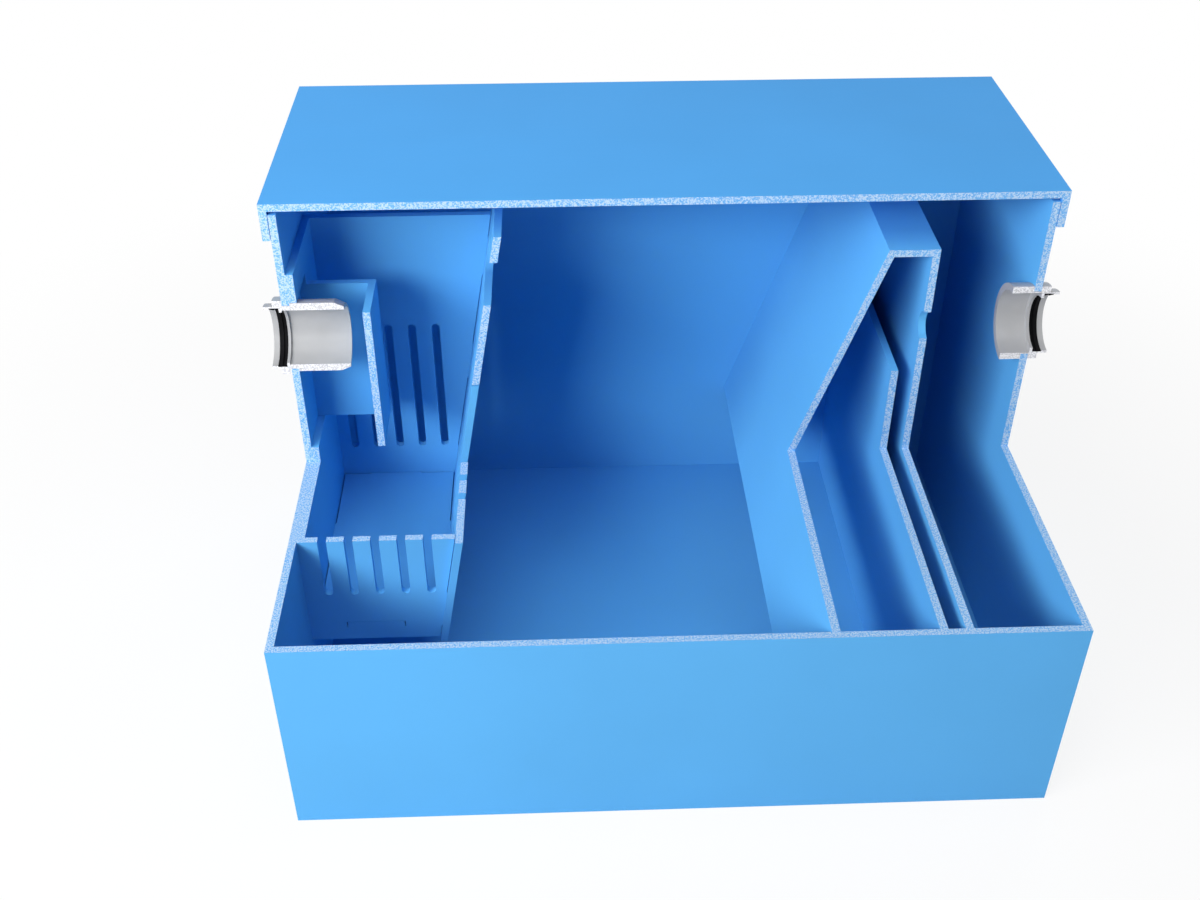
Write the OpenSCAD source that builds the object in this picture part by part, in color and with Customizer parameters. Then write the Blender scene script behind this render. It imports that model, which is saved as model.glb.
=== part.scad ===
// Under-sink grease trap of welded plastic sheet, shown as a cutaway.
// The lid and the upper front half are sawn away, so the sludge basket, the inlet deflector
// and the outlet siphon can be seen. Origin: middle of the tank's underside, +X towards the outlet.

/* [Tank] */
// Outside length of the tank
tank_l = 600; // [480:1:800]
// Outside width of the tank
tank_w = 450; // [360:1:600]
// Height of the tank rim above the underside
tank_h = 417; // [360:1:520]
// Thickness of the plastic sheet of all plates but the tank floor
sheet = 6; // [4:0.5:8]
// Thickness of the tank floor
floor_t = 8.5; // [6:0.5:12]

/* [Cutaway] */
// Saw the upper front part away
cutaway = true; // [true, false]
// Place of the upright saw cut, behind the middle of the tank
section_y = 2; // [-3:0.5:8]
// Distance of the level saw cut below the inlet deflector
section_below = 14.7; // [5:0.1:40]

/* [Lid] */
// Free play between the lid's skirt and the tank wall
lid_play = 0.5; // [0.3:0.1:2]
// Height of the skirt below the lid plate
skirt_h = 24.5; // [12:0.5:40]
// Thickness of the soft seal on the rim
lid_seal_t = 3; // [2:0.5:5]
// Distance of the seal from both edges of the rim
lid_seal_inset = 0.5; // [0:0.1:1]
// Length by which the seal is trimmed behind the saw cut
lid_seal_trim = 8; // [2:1:20]

/* [Pipe sockets] */
// Drop of both pipe axes below the rim
axis_drop = 107.5; // [95:0.5:140]
// Clear bore of the inlet neck and tube
bore_d = 50.5; // [40:0.5:56]
// Wall of the inlet neck that passes through the tank
neck_wall = 4; // [3.5:0.1:6]
// Length of the neck that stands into the tank
neck_stub = 2; // [1:0.5:5]
// Free play round the neck, the seals and the plate tabs
fit_play = 0.25; // [0.1:0.05:0.4]
// Width of the collar that bears on the tank wall
collar_rim = 4.4; // [3:0.2:8]
// Thickness of the collar
collar_t = 7.5; // [5:0.5:12]
// Reach of the socket mouth beyond the collar
lip_l = 7.5; // [4:0.5:15]
// Clear bore of the socket mouth
mouth_d = 52.8; // [46:0.1:58]
// Wall of the socket mouth
mouth_wall = 2.2; // [2:0.1:4]
// Height of the pipe stop above the bore
stop_h = 1.75; // [0.5:0.25:3]
// Width of the pipe stop
stop_w = 2.2; // [1:0.1:2.5]
// Depth of the groove that holds the seal ring
groove_depth = 0.9; // [0.5:0.1:1.2]
// Width of the groove that holds the seal ring
groove_w = 7.5; // [5:0.5:9]
// Distance of the pipe stop and the groove from the tank wall
groove_at = 2.9; // [2.5:0.1:5]
// Height by which the seal ring's lips stand into the mouth
seal_lip = 0.95; // [0.5:0.05:1.5]
// Wall of the inlet tube
inlet_wall = 6.25; // [5:0.25:8]
// Length of the inlet tube inside the tank
inlet_l = 42; // [30:1:48]
// Length of the taper at the inlet tube's end
inlet_taper_l = 7.7; // [4:0.1:12]
// Wall left at the tip of the inlet tube
inlet_tip = 2.75; // [1:0.25:4]
// Step from the inlet's bore to the wider bore of the outlet neck and nut
nut_step = 2.9; // [1:0.1:3]
// Wall of the outlet nut
nut_wall = 5.85; // [4:0.05:9]
// Length of the outlet nut inside the tank
nut_l = 17.2; // [10:0.2:30]

/* [Sludge basket] */
// Width over the basket's front and back walls
basket_w = 208; // [170:1:260]
// Length of the basket at its foot
basket_foot = 106.2; // [95:0.2:150]
// Height of the basket's foot above the tank floor
basket_lift = 72.5; // [40:0.5:90]
// Rise of the basket's rim above the pipe axis
basket_rise = 56.5; // [50:0.5:70]
// Lean of the basket's outer wall from upright, in degrees
basket_lean = 10; // [4:0.5:15]
// Width of the outer wall beyond the front and back walls
outer_margin = 5.5; // [4:0.5:15]
// Rise of the outer wall above the basket's rim
outer_rise = 29.5; // [20:0.5:36]
// Height of the basket floor above the foot
floor_rise = 12.5; // [8:0.5:20]
// Open seam round the basket floor
floor_seam = 1; // [0.3:0.1:2]
// Open seam between the tabs of the side walls
edge_seam = 0.6; // [0.3:0.1:2]
// Gap between the hanging basket and the inlet tube
hang_gap = 0.3; // [0.1:0.1:1]

/* [Plate tabs] */
// Length of the wall tabs that pass through the outer wall
wall_tab = 36; // [20:1:44]
// Distance of the top wall tab below the basket's rim
wall_tab_drop = 20.5; // [12:0.5:40]
// Length of the basket floor's tabs in the front and back walls
floor_tab = 46.5; // [30:0.5:60]
// Distance of those tabs from the tank wall
floor_tab_x = 31; // [15:0.5:40]
// Length of the basket floor's tabs in the end walls
floor_end_tab = 50; // [30:1:80]

/* [Strainer slots] */
// Height of the slots' lower ends above the basket floor
slot_rise = 30.7; // [15:0.1:50]
// Distance of the slots' upper ends below the basket's rim
slot_drop = 104.5; // [95:0.5:130]
// Width of the slots in the front and back walls
slot_w = 7; // [4:0.5:10]
// Spacing of the slots in the front and back walls
slot_pitch = 20.7; // [14:0.1:30]
// Distance of the first slot from the tank wall
slot_first = 19.7; // [14:0.1:30]
// Least strip of wall left beside the last slot
slot_edge = 6; // [4:0.5:15]
// Width of the slots in the outer wall
outer_slot_w = 8; // [5:0.5:12]
// Spacing of the slots in the outer wall
outer_slot_pitch = 25; // [16:0.5:30]
// Number of slots in the outer wall
outer_slots = 5; // [1:2:5]

/* [Hand hole] */
// Length of the hand hole in the outer wall
hand_l = 150; // [90:1:170]
// Height of the hand hole
hand_h = 37.6; // [28:0.2:42]
// Strip of wall left above the hand hole
hand_strip = 22.2; // [15:0.2:30]

/* [Inlet deflector] */
// Clear width between the deflector's cheeks
deflector_w = 98; // [75:1:120]
// Clear distance from the basket wall to the deflector plate
deflector_gap = 50; // [44:0.5:58]
// Reach of the deflector below the pipe axis
deflector_below = 108.3; // [70:0.1:115]
// Reach of the deflector above the pipe axis
deflector_above = 21.9; // [15:0.1:30]

/* [Outlet siphon] */
// Length of the outlet chamber behind the siphon
chamber_l = 80; // [50:1:120]
// Clear gap between the weir and the rear plate
weir_gap = 13; // [8:0.5:25]
// Drop of the weir's edge below the pipe axis
weir_drop = 43.5; // [30:0.5:70]
// Drop of the siphon's top below the tank rim
hood_drop = 39; // [25:0.5:60]
// Length of the siphon's top plate
hood_l = 40.4; // [30:0.1:60]
// Lean of the baffle from upright, in degrees
baffle_lean = 18.5; // [8:0.1:25]
// Clear height below the baffle
baffle_clear = 99; // [60:0.5:130]
// Clear height below the rear plate
rear_clear = 50; // [25:1:80]
// Diameter of the vent hole in the rear plate
vent_d = 24.5; // [10:0.5:40]

/* [Hidden] */
$fn = 96;

sheet_blue = [0.36, 0.69, 0.97];
socket_grey = [0.82, 0.83, 0.84];
rubber_black = [0.03, 0.03, 0.035];

// Inside faces of the tank and the saw's reach past every piece
inner_x = tank_l / 2 - sheet;
inner_y = tank_w / 2 - sheet;
reach = tank_l + tank_w + tank_h;
// Play by which a cutting shape stands past the sheet that it cuts
past = 1;

// Heights that follow from the rim
axis_z = tank_h - axis_drop;
lid_under = tank_h + lid_seal_t;
lid_x = tank_l / 2 + lid_play + sheet;
lid_y = tank_w / 2 + lid_play + sheet;

// Radii of the sockets
bore_r = bore_d / 2;
neck_r = bore_r + neck_wall;
hole_r = neck_r + fit_play;
mouth_r = mouth_d / 2;
groove_r = mouth_r + groove_depth;
inlet_r = bore_r + inlet_wall;
nut_r = bore_r + nut_step;

// Faces and heights of the basket
basket_x = -inner_x + sheet;
basket_y = basket_w / 2 - sheet;
basket_z = floor_t + basket_lift;
basket_top = axis_z + basket_rise;
outer_top = basket_top + outer_rise;
basket_floor_z = basket_z + floor_rise;
slot_low = basket_floor_z + sheet + slot_rise;
slot_high = basket_top - slot_drop;
outer_y = basket_w / 2 + outer_margin;
outer_t = sheet / cos(basket_lean);
hand_z = outer_top - hand_strip - hand_h / 2;
slot_run = basket_foot + (slot_low - basket_z) * tan(basket_lean) - edge_seam;
slot_count = 1 + floor((slot_run - slot_first - slot_w / 2 - slot_edge) / slot_pitch);
tab_lows = [basket_floor_z,
    (basket_z + basket_top - wall_tab) / 2,
    basket_top - wall_tab_drop - wall_tab];

// Deflector and siphon faces, and the level cut below the deflector
deflector_x = basket_x + deflector_gap;
deflector_low = axis_z - deflector_below;
deflector_h = deflector_below + deflector_above;
section_z = deflector_low - section_below;
rear_x = inner_x - chamber_l;
weir_x = rear_x - sheet - weir_gap - sheet;
hood_z = tank_h - hood_drop;
baffle_t = sheet / cos(baffle_lean);

// Inner face of the basket's leaning outer wall at a height
function outer_x(z) = -inner_x + basket_foot + (z - basket_z) * tan(basket_lean);

// Upstream face of the slanted baffle at a height
function baffle_x(z) = rear_x - hood_l - (hood_z - z) * tan(baffle_lean);

// What the saw leaves of a piece
module sawn() {
    difference() {
        children();
        if (cutaway)
            translate([-reach, -reach, section_z])
                cube([2 * reach, reach + section_y, reach]);
    }
}

// A box from its lowest to its highest corner
module block(low, high) {
    translate(low)
        cube(high - low);
}

// A flat outline in X and Z, made into a plate from y0 to y1
module plate_xz(y0, y1) {
    translate([0, y1, 0])
        rotate([90, 0, 0])
            linear_extrude(height = y1 - y0)
                children();
}

// A leaning strip between two heights, with level edges, as an outline in X and Z
module leaning(x_low, x_high, t, z_low, z_high) {
    polygon([[x_low, z_low], [x_low + t, z_low], [x_high + t, z_high], [x_high, z_high]]);
}

// A slot with round ends, as an outline from one end to the other
module slot_outline(width, low, high) {
    translate([-width / 2, low + width / 2])
        square([width, high - low - width]);
    for (end = [low + width / 2, high - width / 2])
        translate([0, end])
            circle(d = width);
}

// A slot cut along X through the outer wall, centred on y
module outer_cut(y) {
    translate([-inner_x, y, 0])
        rotate([90, 0, 90])
            linear_extrude(height = inner_x)
                children();
}

// A round piece on a pipe axis: outline of radius and distance outwards from the tank's outer face
module on_axis(side) {
    translate([side * tank_l / 2, 0, axis_z])
        rotate([0, side * 90, 0])
            rotate_extrude()
                children();
}

// The hole that a socket passes through in a tank wall
module socket_hole(side) {
    translate([side * tank_l / 2, 0, axis_z])
        rotate([0, side * 90, 0])
            translate([0, 0, -sheet - past])
                cylinder(r = hole_r, h = sheet + 2 * past);
}

// Socket outside the tank: neck of a given bore, collar, pipe stop, seal groove and mouth as one outline
module socket(side, in_r) {
    color(socket_grey)
        sawn()
            on_axis(side)
                polygon([[in_r, -sheet - neck_stub],
                    [neck_r, -sheet - neck_stub],
                    [neck_r, 0],
                    [hole_r + collar_rim, 0],
                    [hole_r + collar_rim, collar_t],
                    [mouth_r + mouth_wall, collar_t],
                    [mouth_r + mouth_wall, collar_t + lip_l],
                    [mouth_r, collar_t + lip_l],
                    [mouth_r, groove_at + groove_w],
                    [groove_r, groove_at + groove_w],
                    [groove_r, groove_at],
                    [bore_r - stop_h, groove_at],
                    [bore_r - stop_h, groove_at - stop_w],
                    [in_r, groove_at - stop_w]]);
}

// Rubber ring in the socket's groove, with two lips that press on the pipe
module seal_ring(side) {
    outside = groove_r - fit_play / 2;
    low = groove_at + fit_play / 2;
    lip_w = (groove_w - fit_play) / 2;
    color(rubber_black)
        sawn()
            on_axis(side)
                polygon([[outside, low],
                    [outside, low + 2 * lip_w],
                    [mouth_r, low + 2 * lip_w],
                    [mouth_r - seal_lip, low + lip_w],
                    [mouth_r, low + lip_w],
                    [mouth_r - seal_lip, low]]);
}

module tank_floor() {
    color(sheet_blue)
        block([-tank_l / 2, -tank_w / 2, 0], [tank_l / 2, tank_w / 2, floor_t]);
}

module tank_front_wall() {
    color(sheet_blue)
        sawn()
            block([-tank_l / 2, -tank_w / 2, floor_t], [tank_l / 2, -inner_y, tank_h]);
}

module tank_back_wall() {
    color(sheet_blue)
        sawn()
            block([-tank_l / 2, inner_y, floor_t], [tank_l / 2, tank_w / 2, tank_h]);
}

// End wall of the tank, set between the long walls, with its socket hole
module tank_end_wall(side) {
    near = side * inner_x;
    far = side * tank_l / 2;
    color(sheet_blue)
        sawn()
            difference() {
                block([min(near, far), -inner_y, floor_t], [max(near, far), inner_y, tank_h]);
                socket_hole(side);
            }
}

module tank_left_wall() {
    tank_end_wall(-1);
}

module tank_right_wall() {
    tank_end_wall(1);
}

module lid_plate() {
    color(sheet_blue)
        sawn()
            block([-lid_x, -lid_y, lid_under], [lid_x, lid_y, lid_under + sheet]);
}

// End strip of the lid's skirt, welded under the lid plate
module lid_end_skirt(side) {
    near = side * (lid_x - sheet);
    far = side * lid_x;
    color(sheet_blue)
        sawn()
            block([min(near, far), -lid_y, lid_under - skirt_h], [max(near, far), lid_y, lid_under]);
}

module lid_left_skirt() {
    lid_end_skirt(-1);
}

module lid_right_skirt() {
    lid_end_skirt(1);
}

// Front and back strips of the skirt; the saw takes the front one
module lid_long_skirts() {
    long_x = lid_x - sheet;
    color(sheet_blue)
        sawn()
            for (turn = [0, 180])
                rotate([0, 0, turn])
                    block([-long_x, lid_y - sheet, lid_under - skirt_h], [long_x, lid_y, lid_under]);
}

// Soft strip on the rim that carries the lid and keeps smells in
module lid_seal() {
    out = [tank_l / 2 - lid_seal_inset, tank_w / 2 - lid_seal_inset];
    into = [inner_x + lid_seal_inset, inner_y + lid_seal_inset];
    color(rubber_black)
        difference() {
            block([-out.x, -out.y, tank_h], [out.x, out.y, lid_under]);
            block([-into.x, -into.y, tank_h - past], [into.x, into.y, lid_under + past]);
            if (cutaway)
                block([-reach, -reach, section_z], [reach, section_y + lid_seal_trim, reach]);
        }
}

// Basket wall that leans on the tank wall and hangs on the inlet tube by its cut-out
module basket_inner_wall() {
    cut_high = axis_z + inlet_r + hang_gap;
    color(sheet_blue)
        sawn()
            difference() {
                block([-inner_x, -basket_y, basket_z], [basket_x, basket_y, basket_top]);
                block([-inner_x - past, -deflector_w / 2, deflector_low],
                    [basket_x + past, deflector_w / 2, cut_high]);
                block([-inner_x - past, -floor_end_tab / 2 - fit_play, basket_floor_z],
                    [basket_x + past, floor_end_tab / 2 + fit_play, basket_floor_z + sheet + fit_play]);
            }
}

// Leaning outer wall of the basket, with strainer slots, hand hole and tab holes
module basket_outer_wall() {
    color(sheet_blue)
        sawn()
            difference() {
                plate_xz(-outer_y, outer_y)
                    leaning(outer_x(basket_z), outer_x(outer_top), outer_t, basket_z, outer_top);
                for (i = [0 : outer_slots - 1])
                    outer_cut((i - (outer_slots - 1) / 2) * outer_slot_pitch)
                        slot_outline(outer_slot_w, slot_low, slot_high);
                outer_cut(0)
                    translate([0, hand_z])
                        rotate(90)
                            slot_outline(hand_h, -hand_l / 2, hand_l / 2);
                for (low = tab_lows, turn = [-1, 1])
                    outer_cut(turn * (basket_w - sheet) / 2)
                        translate([-sheet / 2 - fit_play, low])
                            square([sheet + 2 * fit_play, wall_tab + fit_play]);
                outer_cut(0)
                    translate([-floor_end_tab / 2 - fit_play, basket_floor_z])
                        square([floor_end_tab + 2 * fit_play, sheet + fit_play]);
            }
}

// Front or back wall of the basket: slotted, with tabs through the outer wall
module basket_side_wall(y0) {
    color(sheet_blue)
        sawn()
            plate_xz(y0, y0 + sheet)
                difference() {
                    union() {
                        polygon([[-inner_x, basket_z],
                            [outer_x(basket_z) - edge_seam, basket_z],
                            [outer_x(basket_top) - edge_seam, basket_top],
                            [-inner_x, basket_top]]);
                        for (low = tab_lows)
                            leaning(outer_x(low) - sheet, outer_x(low + wall_tab) - sheet,
                                sheet + outer_t, low, low + wall_tab);
                    }
                    for (i = [0 : slot_count - 1])
                        translate([-inner_x + slot_first + i * slot_pitch, 0])
                            slot_outline(slot_w, slot_low, slot_high);
                    translate([-inner_x + floor_tab_x - floor_seam, basket_floor_z])
                        square([floor_tab + 2 * floor_seam, sheet + fit_play]);
                }
}

module basket_front_wall() {
    basket_side_wall(-basket_w / 2);
}

module basket_back_wall() {
    basket_side_wall(basket_y);
}

// Basket floor, held by a tab in each of the four walls
module basket_floor() {
    low = basket_floor_z;
    high = basket_floor_z + sheet;
    tab_x = -inner_x + floor_tab_x;
    half = basket_y - floor_seam;
    color(sheet_blue)
        union() {
            plate_xz(-half, half)
                polygon([[basket_x + floor_seam, low],
                    [outer_x(low) - floor_seam, low],
                    [outer_x(high) - floor_seam, high],
                    [basket_x + floor_seam, high]]);
            plate_xz(-floor_end_tab / 2, floor_end_tab / 2)
                polygon([[-inner_x, low],
                    [outer_x(low) + outer_t, low],
                    [outer_x(high) + outer_t, high],
                    [-inner_x, high]]);
            block([tab_x, -basket_w / 2, low], [tab_x + floor_tab, basket_w / 2, high]);
        }
}

// Plate that turns the inflow down, in front of the inlet tube
module deflector_plate() {
    half = deflector_w / 2 + sheet;
    color(sheet_blue)
        sawn()
            block([deflector_x, -half, deflector_low], [deflector_x + sheet, half, deflector_low + deflector_h]);
}

// Cheeks that hold the deflector plate on the basket wall; the saw takes the front one
module deflector_cheeks() {
    color(sheet_blue)
        sawn()
            for (y = [-deflector_w / 2 - sheet, deflector_w / 2])
                block([basket_x, y, deflector_low], [deflector_x, y + sheet, deflector_low + deflector_h]);
}

// Baffle that keeps the grease back and lets the water pass below it
module slanted_baffle() {
    low = floor_t + baffle_clear;
    high = hood_z - sheet;
    color(sheet_blue)
        sawn()
            plate_xz(-inner_y, inner_y)
                leaning(baffle_x(low), baffle_x(high), baffle_t, low, high);
}

// Top of the siphon, whose upstream edge follows the baffle's lean
module siphon_top_plate() {
    low = hood_z - sheet;
    color(sheet_blue)
        sawn()
            plate_xz(-inner_y, inner_y)
                polygon([[baffle_x(low), low], [rear_x, low], [rear_x, hood_z], [baffle_x(hood_z), hood_z]]);
}

// Weir that sets the water level, standing on the tank floor
module weir_plate() {
    color(sheet_blue)
        sawn()
            block([weir_x, -inner_y, floor_t], [weir_x + sheet, inner_y, axis_z - weir_drop]);
}

// Rear plate of the siphon, open below, with a vent hole at the height of the pipe axis
module siphon_rear_plate() {
    color(sheet_blue)
        sawn()
            difference() {
                block([rear_x - sheet, -inner_y, floor_t + rear_clear], [rear_x, inner_y, hood_z - sheet]);
                translate([rear_x - sheet - past, 0, axis_z])
                    rotate([0, 90, 0])
                        cylinder(d = vent_d, h = sheet + 2 * past);
            }
}

module inlet_socket() {
    socket(-1, bore_r);
}

// Tube screwed on the inlet neck: it carries the basket and ends in a taper
module inlet_tube() {
    seat = -sheet - neck_stub;
    tip = -sheet - inlet_l;
    color(socket_grey)
        sawn()
            on_axis(-1)
                polygon([[hole_r, -sheet],
                    [hole_r, seat],
                    [bore_r, seat],
                    [bore_r, tip],
                    [bore_r + inlet_tip, tip],
                    [inlet_r, tip + inlet_taper_l],
                    [inlet_r, -sheet]]);
}

module inlet_seal_ring() {
    seal_ring(-1);
}

module outlet_socket() {
    socket(1, nut_r);
}

// Nut screwed on the outlet neck inside the tank
module outlet_nut() {
    seat = -sheet - neck_stub;
    color(socket_grey)
        sawn()
            on_axis(1)
                polygon([[hole_r, -sheet],
                    [hole_r, seat],
                    [nut_r, seat],
                    [nut_r, -sheet - nut_l],
                    [nut_r + nut_wall, -sheet - nut_l],
                    [nut_r + nut_wall, -sheet]]);
}

module outlet_seal_ring() {
    seal_ring(1);
}

tank_floor();
tank_front_wall();
tank_back_wall();
tank_left_wall();
tank_right_wall();
lid_plate();
lid_left_skirt();
lid_right_skirt();
lid_long_skirts();
lid_seal();
basket_inner_wall();
basket_outer_wall();
basket_front_wall();
basket_back_wall();
basket_floor();
deflector_plate();
deflector_cheeks();
slanted_baffle();
siphon_top_plate();
weir_plate();
siphon_rear_plate();
inlet_socket();
inlet_tube();
inlet_seal_ring();
outlet_socket();
outlet_nut();
outlet_seal_ring();
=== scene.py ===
import bpy
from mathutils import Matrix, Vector


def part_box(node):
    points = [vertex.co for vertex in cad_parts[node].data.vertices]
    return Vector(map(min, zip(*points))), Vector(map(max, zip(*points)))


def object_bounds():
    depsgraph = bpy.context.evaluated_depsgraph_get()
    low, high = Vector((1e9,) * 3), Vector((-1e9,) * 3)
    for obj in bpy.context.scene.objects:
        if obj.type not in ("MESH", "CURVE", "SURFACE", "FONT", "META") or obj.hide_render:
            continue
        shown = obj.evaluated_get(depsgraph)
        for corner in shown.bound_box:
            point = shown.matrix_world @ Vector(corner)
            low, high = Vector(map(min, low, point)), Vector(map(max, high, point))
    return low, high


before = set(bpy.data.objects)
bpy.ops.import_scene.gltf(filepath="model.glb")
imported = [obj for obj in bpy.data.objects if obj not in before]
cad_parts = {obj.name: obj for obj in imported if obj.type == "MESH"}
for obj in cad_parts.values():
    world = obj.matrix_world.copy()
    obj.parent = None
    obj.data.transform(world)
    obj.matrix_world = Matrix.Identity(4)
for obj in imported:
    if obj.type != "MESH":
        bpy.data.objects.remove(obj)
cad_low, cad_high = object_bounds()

bpy.context.scene.view_settings.view_transform = "Standard"
bpy.ops.object.select_all(action="DESELECT")

# Tank
# An open box of extruded blue polypropylene sheet: floor, two long walls and two end walls, butt welded.
# The rollers leave it satin, with faint drawing lines, and the saw leaves its cut edges pale and granular.


def add_node(tree, kind, sockets=None, **settings):
    """A shader node with its settings, and its sockets set to values or joined to other sockets."""
    made = tree.nodes.new(kind)
    for name, value in settings.items():
        setattr(made, name, value)
    for name, value in (sockets or {}).items():
        if isinstance(value, bpy.types.NodeSocket):
            tree.links.new(value, made.inputs[name])
        else:
            made.inputs[name].default_value = value
    return made


def new_finish(name):
    """An empty material with its output node."""
    finish = bpy.data.materials.new(name)
    finish.use_nodes = True
    finish.node_tree.nodes.clear()
    out = finish.node_tree.nodes.new("ShaderNodeOutputMaterial")
    return finish, finish.node_tree, out


def reckon(tree, operation, first, second=0.0, third=0.0):
    """One sum of up to three values or sockets."""
    return add_node(tree, "ShaderNodeMath", {0: first, 1: second, 2: third}, operation=operation).outputs[0]


def noise(tree, where, fineness, layers=2.0, roughness=0.5):
    """An uneven pattern of a given fineness, with a number of finer layers on it."""
    made = add_node(tree, "ShaderNodeTexNoise", {"Vector": where, "Scale": fineness, "Detail": layers,
                                                 "Roughness": roughness})
    return made.outputs[0]


saw_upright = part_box("lid_plate")[0].y
saw_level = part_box("tank_front_wall")[1].z
saw_tolerance = 0.0003
saw_facing = 0.7


def sawn_faces(tree, place):
    """1 on the two planes that the saw went along, and 0 on a piece's own skin."""
    at = add_node(tree, "ShaderNodeSeparateXYZ", {0: place.outputs["Object"]}).outputs
    facing = add_node(tree, "ShaderNodeSeparateXYZ", {0: place.outputs["Normal"]}).outputs
    upright = reckon(tree, "COMPARE", at["Y"], saw_upright, saw_tolerance)
    above = reckon(tree, "GREATER_THAN", at["Z"], saw_level - saw_tolerance)
    upright = reckon(tree, "MULTIPLY", upright, above)
    upright = reckon(tree, "MULTIPLY", upright, reckon(tree, "LESS_THAN", facing["Y"], -saw_facing))
    level = reckon(tree, "COMPARE", at["Z"], saw_level, saw_tolerance)
    before = reckon(tree, "LESS_THAN", at["Y"], saw_upright + saw_tolerance)
    level = reckon(tree, "MULTIPLY", level, before)
    level = reckon(tree, "MULTIPLY", level, reckon(tree, "GREATER_THAN", facing["Z"], saw_facing))
    return reckon(tree, "MAXIMUM", upright, level)


grain_fineness = 820.0
grain_roughness = 0.6
grain_stops = (0.42, 0.57)


def sawn_grain(tree, place):
    """The grain that the teeth of the saw leave."""
    return noise(tree, place.outputs["Object"], grain_fineness, roughness=grain_roughness)


tank_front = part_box("tank_floor")[0].y


def front_painted_shade_mask(tree, place):
    """1 on the tank's outer front, where a deeper blue is painted as shade against the light falling there,
    and 0 elsewhere.
    """
    at = add_node(tree, "ShaderNodeSeparateXYZ", {0: place.outputs["Object"]}).outputs
    return reckon(tree, "LESS_THAN", at["Y"], tank_front + saw_tolerance)


def two_tones(tree, factor, stops, first, second):
    """A colour that runs from the first tone to the second between two stops."""
    made = add_node(tree, "ShaderNodeValToRGB", {0: factor})
    for element, stop, tone in zip(made.color_ramp.elements, stops, (first, second)):
        element.position = stop
        element.color = (*tone, 1.0)
    return made.outputs[0]


cloud_stops = (0.3, 0.7)
sheet_unevenness = 0.025


def uneven_blue(tree, cloud, blue):
    """A blue that drifts a little to both sides of its tone."""
    return two_tones(tree, cloud, cloud_stops, blue * (1 - sheet_unevenness), blue * (1 + sheet_unevenness))


def mix_colour(tree, factor, first, second):
    """Blends two colours by a factor."""
    made = add_node(tree, "ShaderNodeMix", {0: factor, 6: first, 7: second}, data_type="RGBA")
    return made.outputs[2]


relief_strength = 0.5


def surface(tree, out, colour, roughness, height, depth, gloss):
    """Joins colour, roughness, relief and gloss into the surface of a finish."""
    relief = add_node(tree, "ShaderNodeBump", {"Height": height, "Distance": depth,
                                               "Strength": relief_strength})
    skin = add_node(tree, "ShaderNodeBsdfPrincipled", {"Base Color": colour, "Roughness": roughness,
                                                       "Specular IOR Level": gloss,
                                                       "Normal": relief.outputs[0]})
    tree.links.new(skin.outputs[0], out.inputs[0])


sheet_blue = Vector((0.126, 0.475, 0.880))
# A deeper blue for the tank's outer front: painted shade that damps the lamp light falling on it.
front_painted_shade_blue = Vector((0.104, 0.392, 0.755))
sheet_cloud = 7.0
sheet_pores = 900.0
drawing_across = 260.0
drawing_along = 3.0
sheet_roughness = 0.40
drawing_roughness = 0.12
drawing_relief = 0.25
sheet_depth = 0.00004
sheet_gloss = 0.03
sawn_deep_blue = (0.15, 0.44, 0.85)
sawn_pale_blue = (0.52, 0.69, 0.90)
sawn_blue_roughness = 0.35
sawn_blue_relief = 6.0


def blue_sheet(name, drawn, blue=sheet_blue):
    """Satin blue sheet whose drawing lines run along the axis drawn, with granular pale sawn faces and
    painted shade on the tank's outer front.
    """
    finish, tree, out = new_finish(name)
    place = add_node(tree, "ShaderNodeTexCoord")
    lines = Vector((drawing_across, drawing_across, drawing_across))
    lines["XYZ".index(drawn)] = drawing_along
    stretched = add_node(tree, "ShaderNodeMapping", {0: place.outputs["Object"], "Scale": lines})
    drawing = noise(tree, stretched.outputs[0], fineness=1.0, layers=3.0)
    cloud = noise(tree, place.outputs["Object"], sheet_cloud)
    pores = noise(tree, place.outputs["Object"], sheet_pores)
    grain = sawn_grain(tree, place)
    skin = uneven_blue(tree, cloud, blue)
    # The tank's outer front takes the deeper blue of painted shade.
    skin = mix_colour(tree, front_painted_shade_mask(tree, place), skin, uneven_blue(tree, cloud, front_painted_shade_blue))
    sawn = two_tones(tree, grain, grain_stops, sawn_deep_blue, sawn_pale_blue)
    cut = sawn_faces(tree, place)
    colour = mix_colour(tree, cut, skin, sawn)
    roughness = reckon(tree, "MULTIPLY_ADD", drawing, drawing_roughness, sheet_roughness)
    roughness = reckon(tree, "MULTIPLY_ADD", cut, sawn_blue_roughness, roughness)
    height = reckon(tree, "MULTIPLY_ADD", drawing, drawing_relief, pores)
    height = reckon(tree, "MULTIPLY_ADD", reckon(tree, "MULTIPLY", cut, grain), sawn_blue_relief, height)
    surface(tree, out, colour, roughness, height, sheet_depth, sheet_gloss)
    return finish


def finish_nodes(finish, *nodes):
    """Gives CAD nodes their finish."""
    for node in nodes:
        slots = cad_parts[node].data.materials
        slots.clear()
        slots.append(finish)


finish_nodes(blue_sheet("tank_sheet", "X"), "tank_floor", "tank_front_wall", "tank_back_wall")
finish_nodes(blue_sheet("tank_end_sheet", "Y"), "tank_left_wall", "tank_right_wall")

# Lid
# A plate of the same sheet with a skirt of welded strips that slips over the rim, painted a stronger,
# cooler blue as painted light from above.
# Its soft black seal strip lies on the rim and carries the plate.
# A stronger, cooler blue than the sheet: painted light from above, on the whole lid.
lid_painted_light_blue = Vector((0.105, 0.447, 0.970))

finish_nodes(blue_sheet("lid_sheet", "X", lid_painted_light_blue), "lid_plate", "lid_long_skirts")
finish_nodes(blue_sheet("lid_end_sheet", "Y", lid_painted_light_blue), "lid_left_skirt", "lid_right_skirt")

rubber_black = (0.002, 0.002, 0.003)
rubber_bloom = (0.006, 0.006, 0.007)
bloom_fineness = 350.0
rubber_roughness = 0.55
bloom_roughness = 0.2
rubber_depth = 0.00005
rubber_gloss = 0.06


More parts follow.
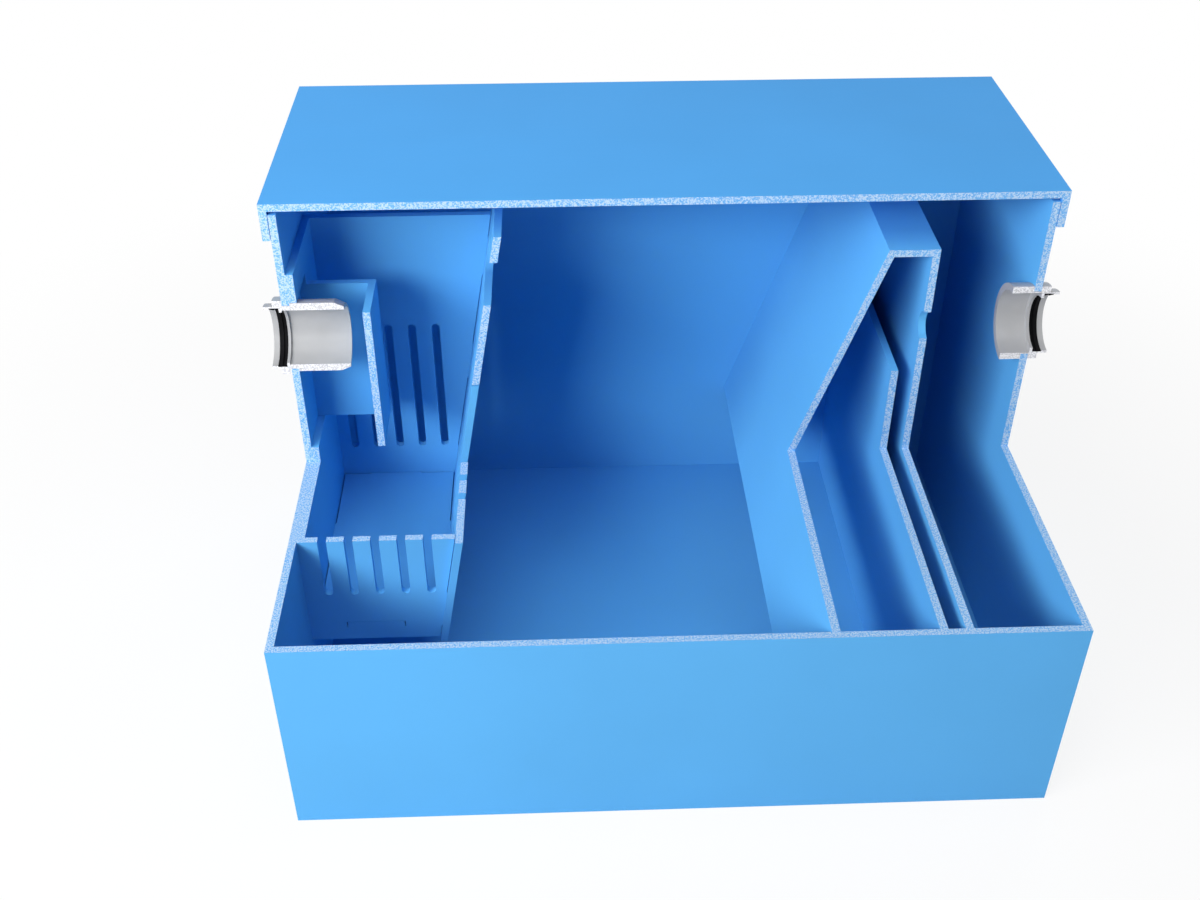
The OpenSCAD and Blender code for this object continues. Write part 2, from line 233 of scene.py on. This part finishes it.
def black_rubber(name):
    """Matt black rubber with a fine bloom."""
    finish, tree, out = new_finish(name)
    place = add_node(tree, "ShaderNodeTexCoord")
    bloom = noise(tree, place.outputs["Object"], bloom_fineness, layers=3.0)
    colour = two_tones(tree, bloom, cloud_stops, rubber_black, rubber_bloom)
    roughness = reckon(tree, "MULTIPLY_ADD", bloom, bloom_roughness, rubber_roughness)
    surface(tree, out, colour, roughness, bloom, rubber_depth, rubber_gloss)
    return finish


finish_nodes(black_rubber("seal_strip_rubber"), "lid_seal")

# Sludge basket
# Five plates of the tank's sheet put together by tabs in slots, with thin dark seams between the tabs.
# It hangs on the inlet tube by the cut-out of its inner wall and is lifted by the hand hole.
finish_nodes(blue_sheet("basket_sheet", "X"), "basket_front_wall", "basket_back_wall", "basket_floor")
finish_nodes(blue_sheet("basket_end_sheet", "Y"), "basket_inner_wall", "basket_outer_wall")

# Inlet deflector
# A plate of the tank's sheet and its cheek, fixed on the basket's inner wall.
# They turn the inflow down into the basket.
finish_nodes(blue_sheet("deflector_sheet", "Y"), "deflector_plate")
finish_nodes(blue_sheet("deflector_cheek_sheet", "X"), "deflector_cheeks")

# Outlet siphon
# Plates of the tank's sheet, welded between its long walls.
# A slanted baffle, a top plate and a rear plate make a hood over the weir, which sets the water level.
finish_nodes(blue_sheet("siphon_sheet", "Y"), "slanted_baffle", "siphon_top_plate", "weir_plate",
             "siphon_rear_plate")

# Inlet and outlet sockets
# Moulded pale grey fittings: a socket outside, and a tube or a nut screwed on its neck inside the tank.
# The moulding is smooth and semi-gloss, and near white where the saw went through it.
fitting_grey = (0.425, 0.43, 0.44)
fitting_pale_grey = (0.455, 0.46, 0.47)
moulding_cloud = 60.0
moulding_roughness = 0.28
cloud_roughness = 0.1
moulding_depth = 0.00004
moulding_gloss = 0.25
sawn_grey = (0.62, 0.62, 0.64)
sawn_white = (0.92, 0.92, 0.94)
sawn_grey_roughness = 0.4
sawn_grey_relief = 4.0


def grey_fitting(name):
    """Semi-gloss grey moulding with near-white sawn faces."""
    finish, tree, out = new_finish(name)
    place = add_node(tree, "ShaderNodeTexCoord")
    cloud = noise(tree, place.outputs["Object"], moulding_cloud, layers=3.0)
    grain = sawn_grain(tree, place)
    skin = two_tones(tree, cloud, cloud_stops, fitting_grey, fitting_pale_grey)
    sawn = two_tones(tree, grain, grain_stops, sawn_grey, sawn_white)
    cut = sawn_faces(tree, place)
    colour = mix_colour(tree, cut, skin, sawn)
    roughness = reckon(tree, "MULTIPLY_ADD", cloud, cloud_roughness, moulding_roughness)
    roughness = reckon(tree, "MULTIPLY_ADD", cut, sawn_grey_roughness, roughness)
    height = reckon(tree, "MULTIPLY_ADD", reckon(tree, "MULTIPLY", cut, grain), sawn_grey_relief, cloud)
    surface(tree, out, colour, roughness, height, moulding_depth, moulding_gloss)
    return finish


finish_nodes(grey_fitting("fitting_grey"), "inlet_socket", "inlet_tube", "outlet_socket", "outlet_nut")

# Seal rings
# Black rubber rings with two lips that hold the pipe.
# They are pressed into the grooves of the socket mouths.
finish_nodes(black_rubber("seal_ring_rubber"), "inlet_seal_ring", "outlet_seal_ring")

# Studio floor
# A plain pale floor that keeps a part of the tank's shadow close to the tank.
# Further out it turns to plain white for the camera.
floor_size = 12.0
floor_white = 0.86
shadow_ends = (0.5, 1.1)
floor_cloud_fineness = 2.0
floor_tones = ((0.86, 0.86, 0.86), (0.90, 0.90, 0.90))

bpy.ops.mesh.primitive_plane_add(size=floor_size, location=(0.0, 0.0, 0.0))
floor = bpy.context.object
floor.name = "studio_floor"


def seen_directly(tree):
    """1 for rays that come from the camera, by a mirror reflection or through glass."""
    rays = add_node(tree, "ShaderNodeLightPath").outputs
    seen = reckon(tree, "MAXIMUM", rays["Is Camera Ray"], rays["Is Glossy Ray"])
    return reckon(tree, "MAXIMUM", seen, rays["Is Transmission Ray"])


floor_finish, floor_tree, floor_out = new_finish("pale_floor")
floor_place = add_node(floor_tree, "ShaderNodeTexCoord").outputs["Object"]
floor_cloud = noise(floor_tree, floor_place, floor_cloud_fineness)
floor_tint = two_tones(floor_tree, floor_cloud, cloud_stops, *floor_tones)
floor_lit = add_node(floor_tree, "ShaderNodeBsdfDiffuse", {"Color": floor_tint})
floor_glow = add_node(floor_tree, "ShaderNodeEmission", {"Strength": 1.0})
floor_reach = add_node(floor_tree, "ShaderNodeVectorMath", {0: floor_place}, operation="LENGTH")
floor_fade = add_node(floor_tree, "ShaderNodeMapRange", {"Value": floor_reach.outputs["Value"],
                                                         "From Min": shadow_ends[0],
                                                         "From Max": shadow_ends[1],
                                                         "To Min": floor_white, "To Max": 1.0},
                      interpolation_type="SMOOTHSTEP")
floor_share = reckon(floor_tree, "MULTIPLY", seen_directly(floor_tree), floor_fade.outputs[0])
floor_mix = add_node(floor_tree, "ShaderNodeMixShader", {0: floor_share, 1: floor_lit.outputs[0],
                                                         2: floor_glow.outputs[0]})
floor_tree.links.new(floor_mix.outputs[0], floor_out.inputs[0])
floor.data.materials.append(floor_finish)

# Studio light
# A dim white surround and three soft lamps that face the tank: a broad key lamp from the front left,
# a large one high above, and a low one that fills the shadow behind the tank.
surround = 0.06
studio_white = (1.0, 1.0, 1.0, 1.0)
key_place = Vector((-1.51, -1.41, 1.21))
key_width = 1.8
key_height = 0.75
key_power = 56.0
top_place = Vector((0.0, -0.78, 3.1))
top_size = 2.4
top_power = 40.0
back_place = Vector((1.5, 2.3, 0.55))
back_size = 1.2
back_power = 40.0

world = bpy.data.worlds.new("studio_surround")
bpy.context.scene.world = world
world.use_nodes = True
world.node_tree.nodes.clear()
world_out = add_node(world.node_tree, "ShaderNodeOutputWorld")
ambient = add_node(world.node_tree, "ShaderNodeBackground", {"Color": studio_white, "Strength": surround})
white = add_node(world.node_tree, "ShaderNodeBackground", {"Color": studio_white, "Strength": 1.0})
world_mix = add_node(world.node_tree, "ShaderNodeMixShader", {0: seen_directly(world.node_tree),
                                                              1: ambient.outputs[0], 2: white.outputs[0]})
world.node_tree.links.new(world_mix.outputs[0], world_out.inputs[0])

tank_middle = (cad_low + cad_high) / 2


def soft_lamp(name, place, wide, high, power, glossy=True):
    """A broad lamp that faces the tank, and shows in its gloss unless told not to."""
    panel = bpy.data.lights.new(name, "AREA")
    panel.shape = "RECTANGLE"
    panel.size = wide
    panel.size_y = high
    panel.energy = power
    lamp = bpy.data.objects.new(name, panel)
    lamp.visible_camera = False
    lamp.visible_glossy = glossy
    lamp.location = place
    lamp.rotation_euler = (tank_middle - place).to_track_quat("-Z", "Y").to_euler()
    bpy.context.scene.collection.objects.link(lamp)


soft_lamp("key_lamp", key_place, key_width, key_height, key_power)
soft_lamp("top_lamp", top_place, top_size, top_size, top_power)
soft_lamp("back_lamp", back_place, back_size, back_size, back_power, glossy=False)

# Camera
# It stands before the sawn front, a little left of the middle and above the lid.
# From there it looks down into the tank.
camera_place = Vector((-0.0863, -0.9352, 0.8881))
camera_look = Vector((0.03016, 0.80233, -0.59612))
camera_lens = 41.2
camera_sensor = 36.0

view = bpy.data.cameras.new("camera")
view.lens = camera_lens
view.sensor_width = camera_sensor
camera = bpy.data.objects.new("camera", view)
camera.location = camera_place
camera.rotation_euler = camera_look.to_track_quat("-Z", "Y").to_euler()
bpy.context.scene.collection.objects.link(camera)
bpy.context.scene.camera = camera
